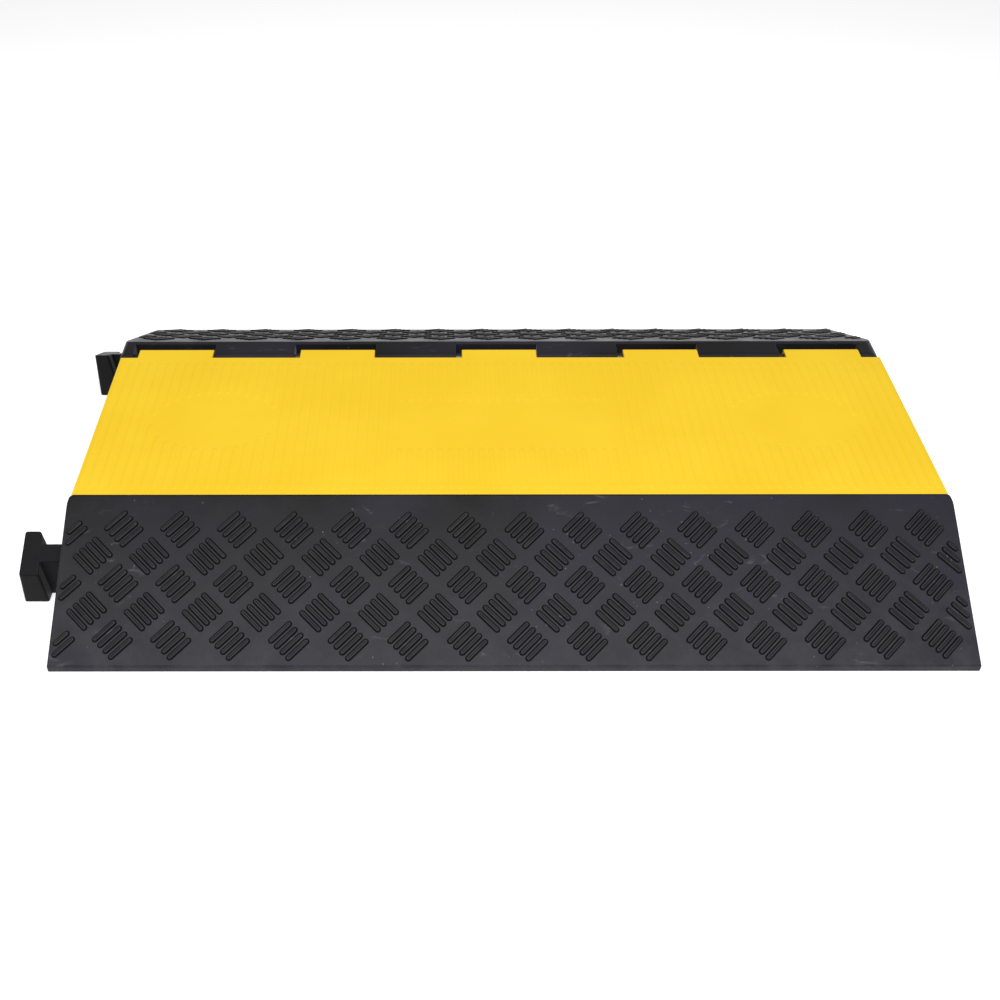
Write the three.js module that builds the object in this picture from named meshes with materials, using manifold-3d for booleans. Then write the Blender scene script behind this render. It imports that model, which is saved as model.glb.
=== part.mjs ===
// Cable protector ramp: a rubber base with a ramp on each side and three cable channels between
// them, and a lid that swings on a steel rod along the rear edge of the channels.
// Millimetres. X runs along the cables, Y from the front ramp to the rear ramp, Z up.
// The origin is the middle of the ramp body's underside.

import * as THREE from 'three';
import { ConvexGeometry } from 'three/addons/geometries/ConvexGeometry.js';
import { mergeVertices } from 'three/addons/utils/BufferGeometryUtils.js';
import Module from 'manifold-3d';

const wasm = await Module();
wasm.setup();

// Ramp body
const LENGTH = 900;
const DEPTH = 600;
const HEIGHT = 90;
const LIP = 7.5; // height of the vertical edge at the foot of each ramp
const RAMP_RUN = 157;
const FRONT_CREST_TOP = 1.5; // flat along the top of the front ramp
const REAR_CREST_TOP = 5.5;
const FRONT_END_RADIUS = 6; // rounding of the front crest at both ends
const REAR_LEFT_RADIUS = 8; // rounding of the rear crest and its end lug
const REAR_RIGHT_RADIUS = 14;

// Cable channels
const CHANNELS = 3;
const CHANNEL_WIDTH = 64;
const CHANNEL_FLOOR = 10;
const CHANNEL_FILLET = 6;
const DIVIDER = 14;
const FRONT_LEDGE = 19.5; // shelf that the lid's front edge rests on

// Lid
const LID_THICKNESS = 14;
const LID_LENGTH = 894;
const LID_FRONT_GAP = 0.8;
const LID_SEAT_GAP = 0.3;
const COFFERS_PER_CHANNEL = 12;
const COFFER_DEPTH = 5.7;
const COFFER_RIB = 6;
const COFFER_INSET = 4;

// Hinge
const TABS = 5;
const HINGE_PITCH = 191; // from one tab to the next, and from one lug to the next
const TAB_WIDTH = 88.2;
const TAB_SHIFT = -1; // the middle tab's place along X
const LUG_WIDTH = 94.6;
const LUG_SHIFT = -4; // the middle of the row of lugs
const LUG_FOOT_FRONT = 104; // the foot fills the trough in front of a lug
const HINGE_Y = 119.5;
const BARREL_RADIUS = 8;
const HINGE_Z = HEIGHT - BARREL_RADIUS;
const NOTCH_EDGE = 9.6; // from the hinge axis to the lid's edge in front of a lug
const TAB_CORNER_RADIUS = 4;
const TROUGH_RADIUS = 11;
const ROD_RADIUS = 4;
const BORE_RADIUS = 4.3;
const PLUG_LENGTH = 5;
const PLUG_GAP = 0.3; // between a plug and the rod
const LEFT_PLUG_INSET = 2; // from the end of the base to the face of a plug
const RIGHT_PLUG_INSET = 5.2;

// End connectors: a T on the left end of each ramp, and a matching socket in the right end.
// A T widens towards the ground, and these are its sizes at the height of the crest.
const TEE_REACH = 43.7;
const TEE_HEAD = 12;
const TEE_WIDTH = 39;
const TEE_NECK = 14;
const TEE_CENTRE = 182; // from the middle of the body, along Y
const TEE_DROP = 22; // the top of a T lies this far below the ramp
const TEE_DRAFT = 3.5; // how far its outer faces lean out, down to the ground
const TEE_SHOULDER_DRAFT = 10; // the same for the head's inner faces
const TEE_RADIUS = 2.5;
const SOCKET_CLEARANCE = 1.5;

// Hollows in the underside of each ramp
const POCKETS = 9;
const POCKET_PITCH = 88;
const POCKET_WIDTH = 70;
const POCKET_OUTER = 232;
const POCKET_INNER = 150;
const POCKET_SKIN = 18;
const POCKET_RADIUS = 5;

// How finely curves are cut
const ARC_STEPS = 5;
const ROUND_SIDES = 24;
const OVERCUT = 1; // how far a cut runs past the face that it opens

// Sizes that follow from the ones above
const HALF_LENGTH = LENGTH / 2;
const HALF_DEPTH = DEPTH / 2;
const CREST = HALF_DEPTH - RAMP_RUN;
const RECESS_FRONT = -CREST + FRONT_CREST_TOP;
const RECESS_REAR = CREST - REAR_CREST_TOP;
const SEAT = HEIGHT - LID_THICKNESS;
const LID_UNDERSIDE = SEAT + LID_SEAT_GAP;
const FIRST_CHANNEL = RECESS_FRONT + FRONT_LEDGE;
const CHANNEL_STEP = CHANNEL_WIDTH + DIVIDER;
const RAMP_SLOPE = (HEIGHT - LIP) / RAMP_RUN;
const LID_FRONT = RECESS_FRONT + LID_FRONT_GAP;
const LID_REAR = HINGE_Y - NOTCH_EDGE;
const LUG_FRONT = HINGE_Y - BARREL_RADIUS;

// Height of the ramp surface at a distance y from the middle of the body.
function rampHeight(y) {
  return LIP + RAMP_SLOPE * (HALF_DEPTH - Math.abs(y));
}

// A shape whose corners, given as [u, v, radius], are rounded where the radius isn't zero.
function roundedShape(corners) {
  const points = [];
  corners.forEach(([u, v, radius], i) => {
    const corner = new THREE.Vector2(u, v);
    if (!radius) {
      points.push(corner);
      return;
    }
    const [pu, pv] = corners.at(i - 1);
    const [nu, nv] = corners[(i + 1) % corners.length];
    const back = new THREE.Vector2(pu, pv).sub(corner).normalize();
    const ahead = new THREE.Vector2(nu, nv).sub(corner).normalize();
    const half = Math.acos(back.dot(ahead)) / 2;
    const middle = back.clone().add(ahead).normalize();
    const centre = corner.clone().addScaledVector(middle, radius / Math.sin(half));
    const start = corner.clone().addScaledVector(back, radius / Math.tan(half)).sub(centre);
    const turn = Math.sign(ahead.cross(back)) * (Math.PI - 2 * half);
    for (let step = 0; step <= ARC_STEPS; step++) {
      const spoke = start.clone().rotateAround(new THREE.Vector2(), turn * step / ARC_STEPS);
      points.push(spoke.add(centre));
    }
  });
  return new THREE.Shape(points);
}

// Points on an arc about a centre, from one angle to another, in degrees.
function arcPoints(u, v, radius, fromDeg, toDeg, steps) {
  const points = [];
  for (let step = 0; step <= steps; step++) {
    const angle = THREE.MathUtils.degToRad(fromDeg + (toDeg - fromDeg) * step / steps);
    points.push([u + radius * Math.cos(angle), v + radius * Math.sin(angle), 0]);
  }
  return points;
}

function toSolid(geometry) {
  geometry.deleteAttribute('normal');
  geometry.deleteAttribute('uv');
  const merged = mergeVertices(geometry, 1e-4);
  const vertProperties = Float32Array.from(merged.attributes.position.array);
  const triVerts = Uint32Array.from(merged.index.array);
  return new wasm.Manifold(new wasm.Mesh({ numProp: 3, vertProperties, triVerts }));
}

function toGeometry(solid) {
  const mesh = solid.getMesh();
  const geometry = new THREE.BufferGeometry();
  geometry.setAttribute('position', new THREE.BufferAttribute(mesh.vertProperties, 3));
  geometry.setIndex(new THREE.BufferAttribute(mesh.triVerts, 1));
  return geometry;
}

function extrude(shape, depth) {
  return new THREE.ExtrudeGeometry(shape, { depth, bevelEnabled: false });
}

// A prism along X from one place to another; its corners are [y, z, radius].
function prismX(corners, from, to) {
  const geometry = extrude(roundedShape(corners), to - from);
  const axes = new THREE.Matrix4().makeBasis(
    new THREE.Vector3(0, 1, 0),
    new THREE.Vector3(0, 0, 1),
    new THREE.Vector3(1, 0, 0),
  );
  geometry.applyMatrix4(axes);
  geometry.translate(from, 0, 0);
  return toSolid(geometry);
}

// A prism along Y; its corners are [x, z, radius].
function prismY(corners, from, to) {
  const geometry = extrude(roundedShape(corners), to - from);
  geometry.rotateX(Math.PI / 2);
  geometry.translate(0, to, 0);
  return toSolid(geometry);
}

// A prism along Z; its corners are [x, y, radius].
function prismZ(corners, from, to) {
  const geometry = extrude(roundedShape(corners), to - from);
  geometry.translate(0, 0, from);
  return toSolid(geometry);
}

// A round bar on the hinge axis.
function hingeCylinder(radius, from, to) {
  const geometry = new THREE.CylinderGeometry(radius, radius, to - from, ROUND_SIDES);
  geometry.rotateZ(Math.PI / 2);
  geometry.translate((from + to) / 2, HINGE_Y, HINGE_Z);
  return toSolid(geometry);
}

// Spans along X of the base's hinge lugs, from left to right; the outer two end with the base.
function lugSpans() {
  return Array.from({ length: TABS + 1 }, (_, i) => {
    const centre = LUG_SHIFT + (i - TABS / 2) * HINGE_PITCH;
    const from = Math.max(centre - LUG_WIDTH / 2, -HALF_LENGTH);
    const to = Math.min(centre + LUG_WIDTH / 2, HALF_LENGTH);
    return [from, to];
  });
}

// Spans of the lid's hinge tabs, one between each pair of lugs.
function tabSpans() {
  return Array.from({ length: TABS }, (_, i) => {
    const centre = TAB_SHIFT + (i - (TABS - 1) / 2) * HINGE_PITCH;
    return [centre - TAB_WIDTH / 2, centre + TAB_WIDTH / 2];
  });
}

// Front and rear walls of each cable channel.
function channelSpans() {
  return Array.from({ length: CHANNELS }, (_, i) => {
    const front = FIRST_CHANNEL + i * CHANNEL_STEP;
    return [front, front + CHANNEL_WIDTH];
  });
}

// A convex block from its footprint, [x0, x1, y0, y1, radius], at two heights.
function draftedBlock(lowZ, low, highZ, high) {
  const points = [];
  for (const [z, [x0, x1, y0, y1, radius]] of [[lowZ, low], [highZ, high]]) {
    const outline = roundedShape([
      [x0, y0, radius],
      [x1, y0, radius],
      [x1, y1, radius],
      [x0, y1, radius],
    ]);
    for (const { x, y } of outline.getPoints()) {
      points.push(new THREE.Vector3(x, y, z));
    }
  }
  return toSolid(new ConvexGeometry(points));
}

// The T of one end connector with its neck at x = root and its head further along X by sign,
// grown by a clearance on every side. side is -1 on the front ramp and 1 on the rear ramp.
function tee(root, side, clearance, overlap) {
  const foot = clearance ? -OVERCUT : 0;
  const middle = side * TEE_CENTRE;
  const headAt = (z) => {
    const depth = 1 - z / HEIGHT;
    const half = TEE_WIDTH / 2 + clearance + TEE_DRAFT * depth;
    const end = root - TEE_REACH - clearance - TEE_DRAFT * depth;
    const shoulder = root - TEE_REACH + TEE_HEAD + clearance + TEE_SHOULDER_DRAFT * depth;
    return [end, shoulder, middle - half, middle + half, TEE_RADIUS];
  };
  const neckAt = (z) => {
    const half = TEE_NECK / 2 + clearance + TEE_DRAFT * (1 - z / HEIGHT);
    return [root - TEE_REACH + TEE_HEAD / 2, root + overlap, middle - half, middle + half, 0];
  };
  const head = draftedBlock(foot, headAt(foot), HEIGHT, headAt(HEIGHT));
  const neck = draftedBlock(foot, neckAt(foot), HEIGHT, neckAt(HEIGHT));
  const drop = TEE_DROP - clearance;
  const under = [
    [side * CREST, foot, 0],
    [side * CREST, HEIGHT - drop, 0],
    [side * HALF_DEPTH, LIP - drop, 0],
    [side * HALF_DEPTH, foot - TEE_DROP, 0],
    [side * CREST, foot - TEE_DROP, 0],
  ];
  return head.add(neck).intersect(prismX(under, root - LENGTH, root + overlap + OVERCUT));
}

// The base's cross-section, with the trough that the lid's hinge tabs turn in.
function baseSection() {
  const troughHalf = Math.acos((HINGE_Z - SEAT) / TROUGH_RADIUS) * THREE.MathUtils.RAD2DEG;
  const trough = arcPoints(HINGE_Y, HINGE_Z, TROUGH_RADIUS, -90 + troughHalf, -90 - troughHalf, 10);
  const corners = [
    [-HALF_DEPTH, 0, 0],
    [HALF_DEPTH, 0, 0],
    [HALF_DEPTH, LIP, 0],
    [CREST, HEIGHT, 0],
    [RECESS_REAR, HEIGHT, 0],
    [RECESS_REAR, SEAT, 0],
    ...trough,
  ];
  for (const [front, rear] of channelSpans().reverse()) {
    corners.push([rear, SEAT, 0]);
    corners.push([rear, CHANNEL_FLOOR, CHANNEL_FILLET]);
    corners.push([front, CHANNEL_FLOOR, CHANNEL_FILLET]);
    corners.push([front, SEAT, 0]);
  }
  corners.push([RECESS_FRONT, SEAT, 0]);
  corners.push([RECESS_FRONT, HEIGHT, 0]);
  corners.push([-CREST, HEIGHT, 0]);
  corners.push([-HALF_DEPTH, LIP, 0]);
  return corners;
}

// What is cut away above the rounded end of a crest, between two places along Y.
function endCutter(side, radius, from, to) {
  const centre = HALF_LENGTH - radius;
  const section = [
    ...arcPoints(centre, HEIGHT - radius, radius, 0, 90, 2 * ARC_STEPS),
    [centre, HEIGHT + OVERCUT, 0],
    [HALF_LENGTH + OVERCUT, HEIGHT + OVERCUT, 0],
    [HALF_LENGTH + OVERCUT, HEIGHT - radius, 0],
  ];
  const mirrored = section.map(([x, z]) => [side * x, z, 0]);
  return prismY(side > 0 ? mirrored : mirrored.reverse(), from, to);
}

// A hollow under one ramp, open at the bottom, with its roof parallel to the ramp.
function underPocket(centre, side) {
  const section = [
    [side * POCKET_OUTER, -OVERCUT, 0],
    [side * POCKET_INNER, -OVERCUT, 0],
    [side * POCKET_INNER, rampHeight(POCKET_INNER) - POCKET_SKIN, POCKET_RADIUS],
    [side * POCKET_OUTER, rampHeight(POCKET_OUTER) - POCKET_SKIN, POCKET_RADIUS],
  ];
  return prismX(section, centre - POCKET_WIDTH / 2, centre + POCKET_WIDTH / 2);
}

function makeBase() {
  let base = prismX(baseSection(), -HALF_LENGTH, HALF_LENGTH);
  const lug = [
    [LUG_FOOT_FRONT, SEAT - LID_THICKNESS, 0],
    [RECESS_REAR + REAR_CREST_TOP / 2, SEAT - LID_THICKNESS, 0],
    [RECESS_REAR + REAR_CREST_TOP / 2, HEIGHT, 0],
    [LUG_FRONT, HEIGHT, BARREL_RADIUS],
    [LUG_FRONT, SEAT, 0],
    [LUG_FOOT_FRONT, SEAT, 0],
  ];
  for (const [from, to] of lugSpans()) {
    base = base.add(prismX(lug, from, to));
  }
  base = base.subtract(endCutter(-1, FRONT_END_RADIUS, -HALF_DEPTH, RECESS_FRONT));
  base = base.subtract(endCutter(1, FRONT_END_RADIUS, -HALF_DEPTH, RECESS_FRONT));
  base = base.subtract(endCutter(-1, REAR_LEFT_RADIUS, LUG_FRONT, HALF_DEPTH));
  base = base.subtract(endCutter(1, REAR_RIGHT_RADIUS, LUG_FRONT, HALF_DEPTH));
  for (const side of [-1, 1]) {
    for (let i = 0; i < POCKETS; i++) {
      base = base.subtract(underPocket((i - (POCKETS - 1) / 2) * POCKET_PITCH, side));
    }
    base = base.add(tee(-HALF_LENGTH, side, 0, OVERCUT));
    base = base.subtract(tee(HALF_LENGTH, side, SOCKET_CLEARANCE, OVERCUT));
  }
  return base.subtract(hingeCylinder(BORE_RADIUS, -HALF_LENGTH - OVERCUT, HALF_LENGTH + OVERCUT));
}

// The cross-section of a hinge tab: flat on top, round under the hinge axis.
function tabSection() {
  const start = LID_REAR - NOTCH_EDGE;
  const meet = Math.asin((HINGE_Z - LID_UNDERSIDE) / BARREL_RADIUS) * THREE.MathUtils.RAD2DEG;
  return [
    [start, LID_UNDERSIDE, 0],
    ...arcPoints(HINGE_Y, HINGE_Z, BARREL_RADIUS, -180 + meet, 0, 12),
    [HINGE_Y + BARREL_RADIUS, HEIGHT, TAB_CORNER_RADIUS],
    [start, HEIGHT, 0],
  ];
}

// The cells in the lid's underside above one channel.
function cutCoffers(lid, front, rear) {
  const pitch = LID_LENGTH / COFFERS_PER_CHANNEL;
  const section = [
    [front + COFFER_INSET, LID_UNDERSIDE - OVERCUT, 0],
    [rear - COFFER_INSET, LID_UNDERSIDE - OVERCUT, 0],
    [rear - COFFER_INSET, LID_UNDERSIDE + COFFER_DEPTH, 0],
    [front + COFFER_INSET, LID_UNDERSIDE + COFFER_DEPTH, 0],
  ];
  for (let i = 0; i < COFFERS_PER_CHANNEL; i++) {
    const centre = (i - (COFFERS_PER_CHANNEL - 1) / 2) * pitch;
    const half = (pitch - COFFER_RIB) / 2;
    lid = lid.subtract(prismX(section, centre - half, centre + half));
  }
  return lid;
}

function makeLid() {
  const plate = [
    [LID_FRONT, LID_UNDERSIDE, 0],
    [LID_REAR, LID_UNDERSIDE, 0],
    [LID_REAR, HEIGHT, 0],
    [LID_FRONT, HEIGHT, 0],
  ];
  let lid = prismX(plate, -LID_LENGTH / 2, LID_LENGTH / 2);
  for (const [from, to] of tabSpans()) {
    lid = lid.add(prismX(tabSection(), from, to));
  }
  for (const [front, rear] of channelSpans()) {
    lid = cutCoffers(lid, front, rear);
  }
  return lid.subtract(hingeCylinder(BORE_RADIUS, -HALF_LENGTH, HALF_LENGTH));
}

function addPiece(group, name, solid, look) {
  const mesh = new THREE.Mesh(toGeometry(solid), new THREE.MeshStandardMaterial(look));
  mesh.name = name;
  group.add(mesh);
}

const rubber = { color: 0x37373d, roughness: 0.65, metalness: 0 };
const yellow = { color: 0xfdd332, roughness: 0.5, metalness: 0 };
const steel = { color: 0xb8babd, roughness: 0.3, metalness: 1 };

const group = new THREE.Group();
addPiece(group, 'ramp_base', makeBase(), rubber);
addPiece(group, 'lid', makeLid(), yellow);
const leftFace = -HALF_LENGTH + LEFT_PLUG_INSET;
const rightFace = HALF_LENGTH - RIGHT_PLUG_INSET;
const rodInset = PLUG_LENGTH + PLUG_GAP;
addPiece(group, 'hinge_rod', hingeCylinder(ROD_RADIUS, leftFace + rodInset, rightFace - rodInset), steel);
addPiece(group, 'hinge_plug_left', hingeCylinder(ROD_RADIUS, leftFace, leftFace + PLUG_LENGTH), rubber);
addPiece(group, 'hinge_plug_right', hingeCylinder(ROD_RADIUS, rightFace - PLUG_LENGTH, rightFace), rubber);

export default group;
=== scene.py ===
"""Cable protector ramp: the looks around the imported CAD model.

Metres. X runs along the cables, Y from the front ramp to the rear ramp, Z up.
"""

import math

import bmesh
import bpy
from mathutils import Matrix, Vector


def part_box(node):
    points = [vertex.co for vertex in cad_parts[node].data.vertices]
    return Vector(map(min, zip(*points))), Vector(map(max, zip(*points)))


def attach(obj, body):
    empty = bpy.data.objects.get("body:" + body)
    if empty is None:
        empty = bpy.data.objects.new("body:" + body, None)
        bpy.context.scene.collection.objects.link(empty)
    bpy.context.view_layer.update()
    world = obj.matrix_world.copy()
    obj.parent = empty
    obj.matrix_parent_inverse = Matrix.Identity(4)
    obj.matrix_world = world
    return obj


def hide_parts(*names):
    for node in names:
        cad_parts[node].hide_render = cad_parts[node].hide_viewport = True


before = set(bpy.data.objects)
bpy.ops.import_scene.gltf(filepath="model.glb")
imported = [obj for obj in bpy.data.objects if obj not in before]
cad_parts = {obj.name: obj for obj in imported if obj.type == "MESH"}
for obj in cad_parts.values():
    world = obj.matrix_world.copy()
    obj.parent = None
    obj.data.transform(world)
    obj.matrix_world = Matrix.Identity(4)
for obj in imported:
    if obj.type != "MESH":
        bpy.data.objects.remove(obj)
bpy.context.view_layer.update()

# Places taken from the frame
BASE_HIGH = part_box("ramp_base")[1]
LID_LOW, LID_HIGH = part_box("lid")
HALF_LENGTH = BASE_HIGH.x
HALF_DEPTH = BASE_HIGH.y
HEIGHT = BASE_HIGH.z

# Camera, in metres and degrees
CAMERA_LENS = 43.19
CAMERA_SHIFT = 0.0609
CAMERA_PLACE = (-0.0708, -1.0743, 0.8777)
CAMERA_DOWN = 40.44
CAMERA_TURN = 0.07
CAMERA_ROLL = -0.1

# Floor
FLOOR_SIZE = 12.0
FLOOR_DROP = 0.0002  # keeps the floor clear of the underside

# Ramp surface
LIP = 0.0075
RAMP_RUN = 0.157
CREST = HALF_DEPTH - RAMP_RUN
SLOPE_LENGTH = math.hypot(HEIGHT - LIP, RAMP_RUN)
SLOPE_UP = Vector((0.0, RAMP_RUN, HEIGHT - LIP)) / SLOPE_LENGTH
SLOPE_NORMAL = Vector((0.0, LIP - HEIGHT, RAMP_RUN)) / SLOPE_LENGTH

# Rounding of moulded edges
EDGE_ROUND = 0.0009
RAMP_ROUND = 0.0015
FRONT_CREST_ROUND = 0.0006
LID_ROUND = 0.0012
ROUND_SEGMENTS = 3
ROUND_LEAST_ANGLE = 25.0  # edges flatter than this stay as they are
LONG_EDGE = 0.1
WIDE_FACE = 0.05  # square metres; only the ramps and the lid's top are this large
FLAT_ANGLE = 1.0  # faces closer than this in tilt are one flat face
WELD = 1e-6

# Tread bars
TREAD_PITCH = 0.0574
TREAD_FIRST = -0.3882  # X of the first whole group of an odd row
TREAD_ROWS = 5
TREAD_GROUPS = 15
TREAD_TOP = 0.0355  # from the crest down the slope to the first row's middle
TREAD_BOW = 0.0025  # how much lower the rows lie at mid-length than near the ends
TREAD_SPREAD = 0.0051  # how far the groups are spread outwards, most of it at mid-half
TREAD_MARGIN = 0.004  # clear of the ramp's ends
TREAD_REACH = 0.43  # where along X the spread and the bow have died away
BARS = 4
BAR_SPACING = 0.0082
BAR_LENGTH = 0.0285
BAR_WIDTH = 0.0052
BAR_HEIGHT = 0.0016
BAR_SUNK = 0.0004
BAR_FOOT = 0.0006  # reach of the fillet at a bar's foot
BAR_SHORTEST = 0.0115
BAR_END_STEPS = 7
BAR_SHOULDER = 0.0015  # inset at which the painted shade on a bar's wall and foot ends
BAR_FADE = 0.0006  # width over which the painted wall shade dies away

# Lid relief: fine ribs, left out on three smooth panels
RIB_COUNT = 82
RIB_HEIGHT = 0.0005
RIB_WIDTH = 0.0064
RIB_FRONT = LID_LOW.y + 0.009
RIB_REAR = 0.098
RIB_SHORTEST = 0.012
PANEL_HALF_WIDTH = 0.123
PANEL_FRONT = -0.064
PANEL_REAR = 0.022
OVAL_PLACE = 0.318
OVAL_MIDDLE = -0.014
OVAL_HALF_WIDTH = 0.070
OVAL_HALF_DEPTH = 0.050

# Sides of a turned bar
TURNED_SIDES = 48


# ---------------------------------------------------------------- mesh helpers

def new_piece(name, bm, body, replaced=None):
    mesh = bpy.data.meshes.new(name)
    bm.to_mesh(mesh)
    bm.free()
    piece = bpy.data.objects.new(name, mesh)
    bpy.context.scene.collection.objects.link(piece)
    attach(piece, body)
    if replaced:
        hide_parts(replaced)
    return piece


def node_solid(node):
    """A copy of a CAD node with its flat faces whole again."""
    bm = bmesh.new()
    bm.from_mesh(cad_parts[node].data)
    bmesh.ops.remove_doubles(bm, verts=bm.verts, dist=WELD)
    flat = math.radians(FLAT_ANGLE)
    bmesh.ops.dissolve_limit(bm, angle_limit=flat, verts=bm.verts, edges=bm.edges)
    return bm


def shade_by_angle(piece, degrees):
    piece.data.shade_smooth()
    piece.data.set_sharp_from_angle(angle=math.radians(degrees))


def weight_edges(bm, widest, width_of):
    """Marks edges for rounding by a share of the widest rounding; width_of gives each edge's own."""
    least = math.radians(ROUND_LEAST_ANGLE)
    layer = bm.edges.layers.float.new("bevel_weight_edge")
    for edge in bm.edges:
        if len(edge.link_faces) == 2 and edge.calc_face_angle(0.0) > least:
            edge[layer] = width_of(edge) / widest


def round_weighted(piece, width):
    bevel = piece.modifiers.new("round_edges", "BEVEL")
    bevel.limit_method = "WEIGHT"
    bevel.width = width
    bevel.segments = ROUND_SEGMENTS
    bevel.use_clamp_overlap = False
    shade_by_angle(piece, 40.0)
    normals = piece.modifiers.new("flat_faces", "WEIGHTED_NORMAL")
    normals.keep_sharp = True


def raised_bar(bm, place, length, width, profile, wall_shade=None):
    """A closed bar with round ends, along the local X of place; profile is [inset, height] upwards.

    The optional colour layer is given 1 on the bar's wall and 0 on its top: a mask for painted
    shade.
    """
    straight = max(0.0, length - width) / 2
    rings = []
    for inset, height in profile:
        radius = width / 2 - inset
        ring = []
        for side, start in ((1, -90), (-1, 90)):
            for step in range(BAR_END_STEPS + 1):
                angle = math.radians(start + 180 * step / BAR_END_STEPS)
                x = side * straight + radius * math.cos(angle)
                y = radius * math.sin(angle)
                ring.append(bm.verts.new(place @ Vector((x, y, height))))
        rings.append(ring)
    count = len(rings[0])
    for level, (low, high) in enumerate(zip(rings, rings[1:])):
        for i in range(count):
            j = (i + 1) % count
            face = bm.faces.new((low[i], low[j], high[j], high[i]))
            face.smooth = True
            if wall_shade is not None:
                # painted shade mask: 1 on the foot and lower wall, fading to 0 by the shoulder
                for loop in face.loops:
                    inset = profile[level if loop.vert in low else level + 1][0]
                    shade = min(1.0, max(0.0, (BAR_SHOULDER - inset) / BAR_FADE))
                    loop[wall_shade] = (shade, shade, shade, 1.0)
    bm.faces.new(rings[-1])
    bm.faces.new(list(reversed(rings[0])))


# ---------------------------------------------------------------- camera, floor and light

def add_camera():
    data = bpy.data.cameras.new("camera")
    data.sensor_width = 36.0
    data.lens = CAMERA_LENS
    data.shift_x = CAMERA_SHIFT
    camera = bpy.data.objects.new("camera", data)
    bpy.context.scene.collection.objects.link(camera)
    camera.location = CAMERA_PLACE
    tilt = Matrix.Rotation(math.radians(90.0 - CAMERA_DOWN), 4, "X")
    turn = Matrix.Rotation(math.radians(CAMERA_TURN), 4, "Z")
    roll = Matrix.Rotation(math.radians(CAMERA_ROLL), 4, "Z")
    camera.rotation_euler = (turn @ tilt @ roll).to_euler()
    bpy.context.scene.camera = camera


def add_floor():
    bm = bmesh.new()
    bmesh.ops.create_grid(bm, x_segments=1, y_segments=1, size=FLOOR_SIZE)
    mesh = bpy.data.meshes.new("floor")
    bm.to_mesh(mesh)
    bm.free()
    floor = bpy.data.objects.new("floor", mesh)
    bpy.context.scene.collection.objects.link(floor)
    floor.location.z = -FLOOR_DROP
    material = bpy.data.materials.new("floor_white")
    material.use_nodes = True
    shader = material.node_tree.nodes["Principled BSDF"]
    shader.inputs["Base Color"].default_value = (0.9, 0.9, 0.9, 1.0)
    shader.inputs["Roughness"].default_value = 0.9
    shader.inputs["Specular IOR Level"].default_value = 0.0
    shader.inputs["Emission Color"].default_value = (1.0, 1.0, 1.0, 1.0)
    shader.inputs["Emission Strength"].default_value = 0.35
    mesh.materials.append(material)


def add_light(name, place, size, power, aim=(0.0, 0.0, 0.05)):
    data = bpy.data.lights.new(name, "AREA")
    data.shape = "RECTANGLE"
    data.size, data.size_y = size
    data.energy = power
    light = bpy.data.objects.new(name, data)
    bpy.context.scene.collection.objects.link(light)
    light.location = place
    direction = Vector(aim) - Vector(place)
    light.rotation_euler = direction.to_track_quat("-Z", "Y").to_euler()


def add_studio():
    add_light("top_softbox", (0.0, -0.95, 2.5), (2.8, 1.4), 78.0)
    add_light("front_softbox", (-0.6, -2.6, 1.8), (2.4, 1.4), 5.0)
    world = bpy.data.worlds.new("studio")
    world.use_nodes = True
    background = world.node_tree.nodes["Background"]
    background.inputs["Color"].default_value = (1.0, 1.0, 1.0, 1.0)
    background.inputs["Strength"].default_value = 0.32
    bpy.context.scene.world = world
    bpy.context.scene.view_settings.view_transform = "Standard"


# ---------------------------------------------------------------- material helpers

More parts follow.
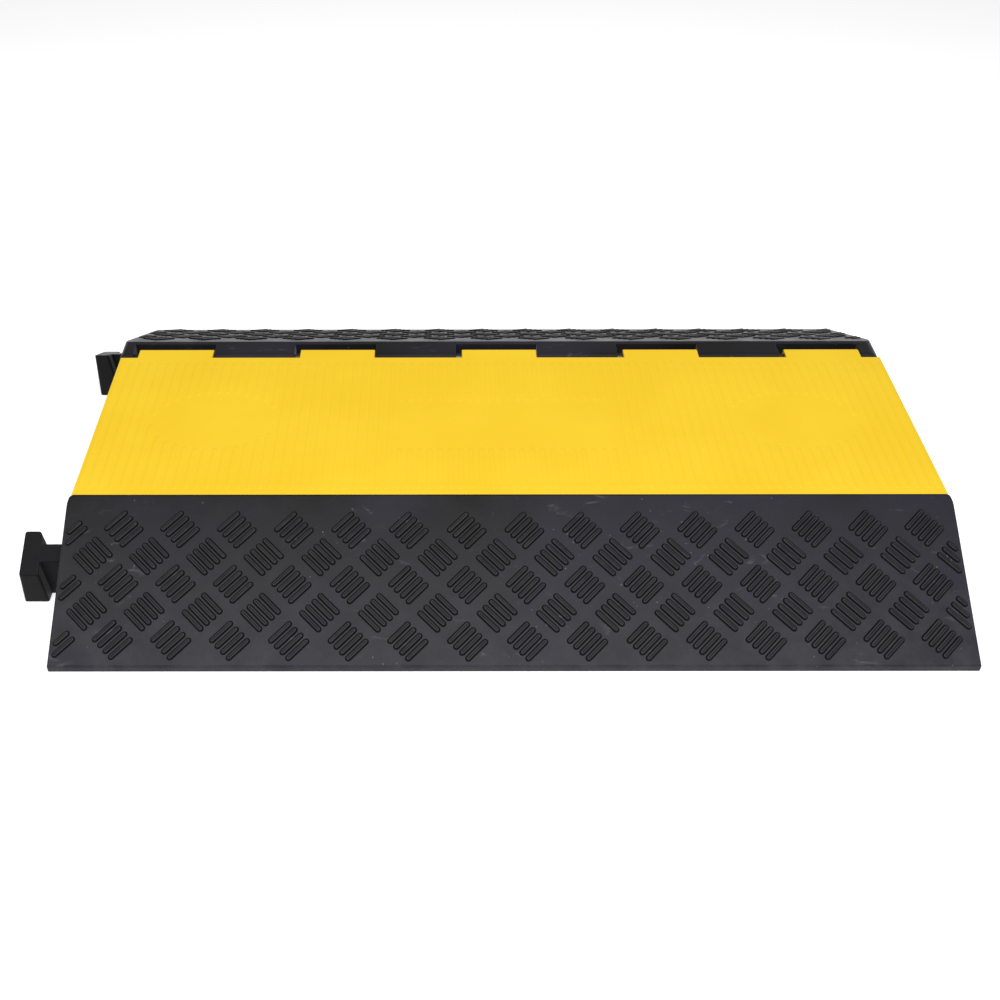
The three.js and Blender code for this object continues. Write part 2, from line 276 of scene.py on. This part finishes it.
class Nodes:
    """Short calls for building one material's node tree."""

    def __init__(self, name):
        self.material = bpy.data.materials.new(name)
        self.material.use_nodes = True
        self.tree = self.material.node_tree
        self.shader = self.tree.nodes["Principled BSDF"]
        self.place = self.tree.nodes.new("ShaderNodeTexCoord").outputs["Object"]

    def link(self, source, socket):
        self.tree.links.new(source, socket)

    def stretched(self, scale):
        mapping = self.tree.nodes.new("ShaderNodeMapping")
        mapping.inputs["Scale"].default_value = scale
        self.link(self.place, mapping.inputs["Vector"])
        return mapping.outputs["Vector"]

    def noise(self, scale, detail=3.0, roughness=0.5, vector=None, distortion=0.0):
        node = self.tree.nodes.new("ShaderNodeTexNoise")
        node.inputs["Scale"].default_value = scale
        node.inputs["Detail"].default_value = detail
        node.inputs["Roughness"].default_value = roughness
        node.inputs["Distortion"].default_value = distortion
        self.link(vector or self.place, node.inputs["Vector"])
        return node.outputs["Fac"]

    def spots(self, scale):
        node = self.tree.nodes.new("ShaderNodeTexVoronoi")
        node.inputs["Scale"].default_value = scale
        self.link(self.place, node.inputs["Vector"])
        return node.outputs["Distance"]

    def remap(self, value, low, high, to_low=0.0, to_high=1.0, smooth=False):
        node = self.tree.nodes.new("ShaderNodeMapRange")
        if smooth:
            node.interpolation_type = "SMOOTHSTEP"
        node.inputs["From Min"].default_value = low
        node.inputs["From Max"].default_value = high
        node.inputs["To Min"].default_value = to_low
        node.inputs["To Max"].default_value = to_high
        self.link(value, node.inputs["Value"])
        return node.outputs["Result"]

    def math(self, kind, first, second):
        node = self.tree.nodes.new("ShaderNodeMath")
        node.operation = kind
        for socket, value in zip(node.inputs, (first, second)):
            if isinstance(value, (int, float)):
                socket.default_value = value
            else:
                self.link(value, socket)
        return node.outputs["Value"]

    def mix(self, share, first, second):
        node = self.tree.nodes.new("ShaderNodeMix")
        node.data_type = "RGBA"
        factor, a, b = node.inputs["Factor"], node.inputs[6], node.inputs[7]
        for socket, value in ((factor, share), (a, first), (b, second)):
            if isinstance(value, (int, float)):
                socket.default_value = value
            elif isinstance(value, tuple):
                socket.default_value = (*value, 1.0)
            else:
                self.link(value, socket)
        return node.outputs[2]

    def split(self, vector):
        node = self.tree.nodes.new("ShaderNodeSeparateXYZ")
        self.link(vector, node.inputs["Vector"])
        return node.outputs["X"], node.outputs["Y"], node.outputs["Z"]

    def bump(self, height, distance, strength=1.0, after=None):
        node = self.tree.nodes.new("ShaderNodeBump")
        node.inputs["Distance"].default_value = distance
        node.inputs["Strength"].default_value = strength
        self.link(height, node.inputs["Height"])
        if after:
            self.link(after, node.inputs["Normal"])
        return node.outputs["Normal"]


# ---------------------------------------------------------------- materials

def rubber_material(name, with_wall_shade=False):
    """Moulded black rubber: blacker towards the crest and on the left-end connectors, partly painted
    shade, with a cool grey bloom in patches, pale scuffs, scratches and specks. A tread one has worn
    tops and painted shade darkening its bars' walls and feet."""
    n = Nodes(name)
    x, y, z = n.split(n.place)
    # darker towards the crest, lighter and cooler towards the lip: partly the rubber's tone, partly
    # painted shade; the bloom below is weighted by the same gradient
    low = n.remap(z, HEIGHT, LIP)
    colour = n.mix(low, (0.0092, 0.0092, 0.0092), (0.0255, 0.0250, 0.0290))
    patches = n.remap(n.noise(6.0, 2.0), 0.38, 0.66, smooth=True)
    colour = n.mix(n.math("MULTIPLY", patches, 0.6), colour, (0.0240, 0.0225, 0.0360))
    clouds = n.remap(n.noise(34.0, 5.0, 0.62), 0.36, 0.72)
    bloom = n.math("MULTIPLY", clouds, n.math("MULTIPLY", low, 0.85))
    colour = n.mix(bloom, colour, (0.0500, 0.0500, 0.0580))
    scratches = n.noise(85.0, 6.0, 0.65, n.stretched((0.4, 1.0, 1.0)), 0.7)
    streaks = n.remap(scratches, 0.59, 0.78, smooth=True)
    scuffed = n.remap(n.noise(11.0, 3.0), 0.42, 0.60)
    scuffs = n.math("MULTIPLY", n.math("MULTIPLY", streaks, scuffed), 0.7)
    colour = n.mix(scuffs, colour, (0.135, 0.135, 0.150))
    grit = n.remap(n.noise(26.0, 2.0), 0.54, 0.62)
    specks = n.math("MULTIPLY", n.remap(n.spots(140.0), 0.11, 0.05), grit)
    colour = n.mix(n.math("MULTIPLY", specks, 0.7), colour, (0.21, 0.21, 0.22))
    # left-end connectors darker: partly their smoother rubber, partly painted shade
    connector_painted_shade = n.remap(x, -HALF_LENGTH, -HALF_LENGTH - 0.002, 0.0, 0.9)
    colour = n.mix(connector_painted_shade, colour, (0.0040, 0.0040, 0.0048))
    if with_wall_shade:
        attribute = n.tree.nodes.new("ShaderNodeAttribute")
        attribute.attribute_name = "wall"
        worn = n.remap(n.noise(60.0, 3.0), 0.30, 0.70, 0.30, 0.90)
        colour = n.mix(worn, colour, (0.0580, 0.0580, 0.0610))
        # painted shade: near-black on the bars' walls and feet, where the wall layer is 1
        painted_wall_shade = n.math("MULTIPLY", attribute.outputs["Fac"], 0.95)
        colour = n.mix(painted_wall_shade, colour, (0.002, 0.002, 0.0024))
    n.link(colour, n.shader.inputs["Base Color"])
    n.link(n.remap(clouds, 0.0, 1.0, 0.38, 0.55), n.shader.inputs["Roughness"])
    n.shader.inputs["Specular IOR Level"].default_value = 0.08
    n.shader.inputs["Sheen Weight"].default_value = 0.14 if with_wall_shade else 0.24
    n.shader.inputs["Sheen Roughness"].default_value = 0.35
    grain = n.bump(n.noise(1400.0, 2.0), 0.00012, 0.5)
    n.link(n.bump(n.noise(160.0, 3.0), 0.0004, 0.35, grain), n.shader.inputs["Normal"])
    return n.material


def lid_material():
    """Moulded signal yellow: faint warmer patches, a fine grain and a few grey rub marks."""
    n = Nodes("lid_yellow_look")
    patches = n.remap(n.noise(9.0, 3.0), 0.35, 0.65, smooth=True)
    colour = n.mix(patches, (0.790, 0.520, 0.0175), (0.812, 0.545, 0.0215))
    warm = n.remap(n.noise(46.0, 4.0, 0.6), 0.50, 0.72)
    colour = n.mix(n.math("MULTIPLY", warm, 0.4), colour, (0.810, 0.500, 0.0250))
    rubs = n.remap(n.noise(120.0, 5.0, 0.7, n.stretched((0.35, 1.0, 1.0)), 0.8), 0.68, 0.78)
    colour = n.mix(n.math("MULTIPLY", rubs, 0.25), colour, (0.55, 0.36, 0.06))
    n.link(colour, n.shader.inputs["Base Color"])
    n.link(n.remap(warm, 0.0, 1.0, 0.52, 0.62), n.shader.inputs["Roughness"])
    n.shader.inputs["Specular IOR Level"].default_value = 0.2
    grain = n.bump(n.noise(1500.0, 2.0), 0.0001, 0.4)
    n.link(n.bump(n.noise(70.0, 2.0), 0.0005, 0.2, grain), n.shader.inputs["Normal"])
    return n.material


def steel_material():
    """Steel with a near-black colour, painted shade for the dark gaps round the pin: fine turning
    lines round the rod, with a little rust.
    """
    n = Nodes("rod_steel_look")
    lines = n.noise(900.0, 3.0, 0.6, n.stretched((1.0, 0.05, 0.05)))
    tarnish = n.remap(n.noise(30.0, 4.0), 0.5, 0.75)
    # near-black steel colours: painted shade for the hinge gaps
    colour = n.mix(n.math("MULTIPLY", lines, 0.5), (0.070, 0.068, 0.066), (0.13, 0.125, 0.12))
    colour = n.mix(n.math("MULTIPLY", tarnish, 0.5), colour, (0.14, 0.085, 0.05))
    n.link(colour, n.shader.inputs["Base Color"])
    n.link(n.remap(lines, 0.3, 0.7, 0.38, 0.55), n.shader.inputs["Roughness"])
    n.shader.inputs["Metallic"].default_value = 1.0
    n.link(n.bump(lines, 0.0001, 0.4), n.shader.inputs["Normal"])
    return n.material


def plug_material():
    """Matte black rubber with a dusty bloom."""
    n = Nodes("plug_rubber_look")
    bloom = n.remap(n.noise(220.0, 4.0, 0.6), 0.4, 0.7)
    colour = n.mix(bloom, (0.012, 0.012, 0.013), (0.030, 0.030, 0.033))
    n.link(colour, n.shader.inputs["Base Color"])
    n.link(n.remap(bloom, 0.0, 1.0, 0.6, 0.8), n.shader.inputs["Roughness"])
    n.link(n.bump(n.noise(1200.0, 2.0), 0.0001, 0.4), n.shader.inputs["Normal"])
    return n.material


# ---------------------------------------------------------------- base

def on_ramp(face):
    tilted = abs(abs(face.normal.y) - abs(SLOPE_NORMAL.y)) < 0.01
    return tilted and face.normal.z > 0 and face.calc_area() > WIDE_FACE


def base_rounding(edge):
    """Broader along the outline of the ramps, and finest along the thin front crest."""
    middle = (edge.verts[0].co + edge.verts[1].co) / 2
    along_x = abs(edge.verts[0].co.x - edge.verts[1].co.x) > LONG_EDGE
    if along_x and middle.z > HEIGHT - 0.0001 and middle.y < LID_LOW.y:
        return FRONT_CREST_ROUND
    return RAMP_ROUND if any(on_ramp(face) for face in edge.link_faces) else EDGE_ROUND


def make_base(rubber):
    bm = node_solid("ramp_base")
    weight_edges(bm, RAMP_ROUND, base_rounding)
    base = new_piece("base_moulding", bm, "base", "ramp_base")
    base.data.materials.append(rubber)
    round_weighted(base, RAMP_ROUND)


def ramp_place(side):
    """The frame of a ramp surface: local Y runs up the slope from the crest line's middle."""
    turn = Matrix.Rotation(math.pi if side > 0 else 0.0, 4, "Z")
    across = Vector((1.0, 0.0, 0.0))
    origin = Vector((0.0, -CREST, HEIGHT))
    axes = Matrix((across, SLOPE_UP, SLOPE_NORMAL)).transposed().to_4x4()
    return turn @ Matrix.Translation(origin) @ axes


def bar_places():
    """Middle, length and tilt of each bar of one ramp, in the ramp's own plane."""
    limit = HALF_LENGTH - TREAD_MARGIN - BAR_WIDTH / 2
    places = []
    for row in range(TREAD_ROWS):
        second_kind = row % 2 == 1
        tilt = math.radians(135.0 if second_kind else 45.0)
        along = Vector((math.cos(tilt), math.sin(tilt)))
        across = Vector((-along.y, along.x))
        first = TREAD_FIRST - (TREAD_PITCH / 2 if second_kind else TREAD_PITCH)
        down = -TREAD_TOP - row * TREAD_PITCH / 2
        for group in range(TREAD_GROUPS + 1):
            x = first + group * TREAD_PITCH
            bulge = 1.0 - (x / TREAD_REACH) ** 2
            spread = TREAD_SPREAD * bulge * x / HALF_LENGTH
            centre = Vector((x + spread, down - TREAD_BOW * bulge))
            for bar in range(BARS):
                middle = centre + across * (bar - (BARS - 1) / 2) * BAR_SPACING
                reach = abs(along.x) * (BAR_LENGTH - BAR_WIDTH) / 2
                low = max(middle.x - reach, -limit)
                high = min(middle.x + reach, limit)
                length = (high - low) / abs(along.x) + BAR_WIDTH
                if high <= low or length < BAR_SHORTEST:
                    continue
                shift = ((low + high) / 2 - middle.x) / along.x
                places.append((middle + along * shift, length, tilt))
    return places


def make_tread(name, side, rubber):
    profile = [
        (-BAR_FOOT, -BAR_SUNK),
        (-BAR_FOOT, BAR_HEIGHT * 0.06),
        (0.0, BAR_HEIGHT * 0.2),
        (0.0002, BAR_HEIGHT * 0.50),
        (0.0006, BAR_HEIGHT * 0.80),
        (0.0012, BAR_HEIGHT * 0.95),
        (0.0019, BAR_HEIGHT),
    ]
    bm = bmesh.new()
    wall = bm.loops.layers.float_color.new("wall")
    slope = ramp_place(side)
    for middle, length, tilt in bar_places():
        place = slope @ Matrix.Translation(middle.to_3d()) @ Matrix.Rotation(tilt, 4, "Z")
        raised_bar(bm, place, length, BAR_WIDTH, profile, wall)
    tread = new_piece(name, bm, "base")
    tread.data.materials.append(rubber)
    shade_by_angle(tread, 60.0)


# ---------------------------------------------------------------- lid

def lid_rounding(edge):
    on_top = any(face.normal.z > 0.99 and face.calc_area() > WIDE_FACE for face in edge.link_faces)
    return LID_ROUND if on_top else EDGE_ROUND


def make_lid(yellow):
    bm = node_solid("lid")
    for vert in bm.verts:
        vert.co.z = min(vert.co.z, HEIGHT - RIB_HEIGHT)
    weight_edges(bm, LID_ROUND, lid_rounding)
    lid = new_piece("lid_moulding", bm, "lid", "lid")
    lid.data.materials.append(yellow)
    round_weighted(lid, LID_ROUND)


def rib_spans(x):
    """The stretches of a rib along Y that lie outside the smooth panels."""
    gap = None
    if abs(x) < PANEL_HALF_WIDTH:
        gap = (PANEL_FRONT, PANEL_REAR)
    reach = (abs(x) - OVAL_PLACE) / OVAL_HALF_WIDTH
    if abs(reach) < 1:
        half = OVAL_HALF_DEPTH * math.sqrt(1 - reach * reach)
        gap = (OVAL_MIDDLE - half, OVAL_MIDDLE + half)
    if gap is None:
        return [(RIB_FRONT, RIB_REAR)]
    spans = [(RIB_FRONT, gap[0]), (gap[1], RIB_REAR)]
    return [span for span in spans if span[1] - span[0] > RIB_SHORTEST]


def make_ribs(yellow):
    profile = [
        (0.0, -RIB_HEIGHT),
        (0.0, 0.0),
        (RIB_WIDTH * 0.10, RIB_HEIGHT * 0.35),
        (RIB_WIDTH * 0.22, RIB_HEIGHT * 0.75),
        (RIB_WIDTH * 0.36, RIB_HEIGHT * 0.96),
        (RIB_WIDTH * 0.44, RIB_HEIGHT),
    ]
    bm = bmesh.new()
    pitch = (LID_HIGH.x - LID_LOW.x) / RIB_COUNT
    top = HEIGHT - RIB_HEIGHT
    for i in range(RIB_COUNT):
        x = LID_LOW.x + (i + 0.5) * pitch
        for front, rear in rib_spans(x):
            middle = Matrix.Translation((x, (front + rear) / 2, top))
            place = middle @ Matrix.Rotation(math.pi / 2, 4, "Z")
            raised_bar(bm, place, rear - front, RIB_WIDTH, profile)
    ribs = new_piece("lid_ribs", bm, "lid")
    ribs.data.materials.append(yellow)
    shade_by_angle(ribs, 60.0)


# ---------------------------------------------------------------- hinge pin and plugs

def turned_bar(name, node, profile, material):
    """A bar turned about the hinge axis; profile is [share of the length, share of the radius]."""
    low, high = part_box(node)
    axis_y = (low.y + high.y) / 2
    axis_z = (low.z + high.z) / 2
    radius = (high.z - low.z) / 2
    bm = bmesh.new()
    rings = []
    for along, reach in profile:
        ring = []
        for side in range(TURNED_SIDES):
            angle = 2 * math.pi * side / TURNED_SIDES
            y = axis_y + radius * reach * math.cos(angle)
            z = axis_z + radius * reach * math.sin(angle)
            ring.append(bm.verts.new((low.x + (high.x - low.x) * along, y, z)))
        rings.append(ring)
    for near, far in zip(rings, rings[1:]):
        for side in range(TURNED_SIDES):
            other = (side + 1) % TURNED_SIDES
            bm.faces.new((near[side], near[other], far[other], far[side]))
    bm.faces.new(list(reversed(rings[0])))
    bm.faces.new(rings[-1])
    bmesh.ops.recalc_face_normals(bm, faces=bm.faces)
    piece = new_piece(name, bm, "base", node)
    piece.data.materials.append(material)
    shade_by_angle(piece, 50.0)


def make_pin(steel, plug):
    pin = [(0.0, 0.8), (0.001, 1.0), (0.999, 1.0), (1.0, 0.8)]
    turned_bar("hinge_pin", "hinge_rod", pin, steel)
    cap = [(0.0, 0.4), (0.06, 0.45), (0.0, 0.7), (0.0, 0.85), (0.08, 1.0), (0.92, 1.0), (1.0, 0.9)]
    turned_bar("end_plug_left", "hinge_plug_left", cap, plug)
    mirrored = [(1.0 - along, reach) for along, reach in cap]
    turned_bar("end_plug_right", "hinge_plug_right", mirrored, plug)


add_camera()
add_floor()
add_studio()
base_rubber = rubber_material("base_rubber_look")
tread_rubber = rubber_material("tread_rubber_look", with_wall_shade=True)
lid_yellow = lid_material()
make_base(base_rubber)
make_tread("front_tread", -1, tread_rubber)
make_tread("rear_tread", 1, tread_rubber)
make_lid(lid_yellow)
make_ribs(lid_yellow)
make_pin(steel_material(), plug_material())
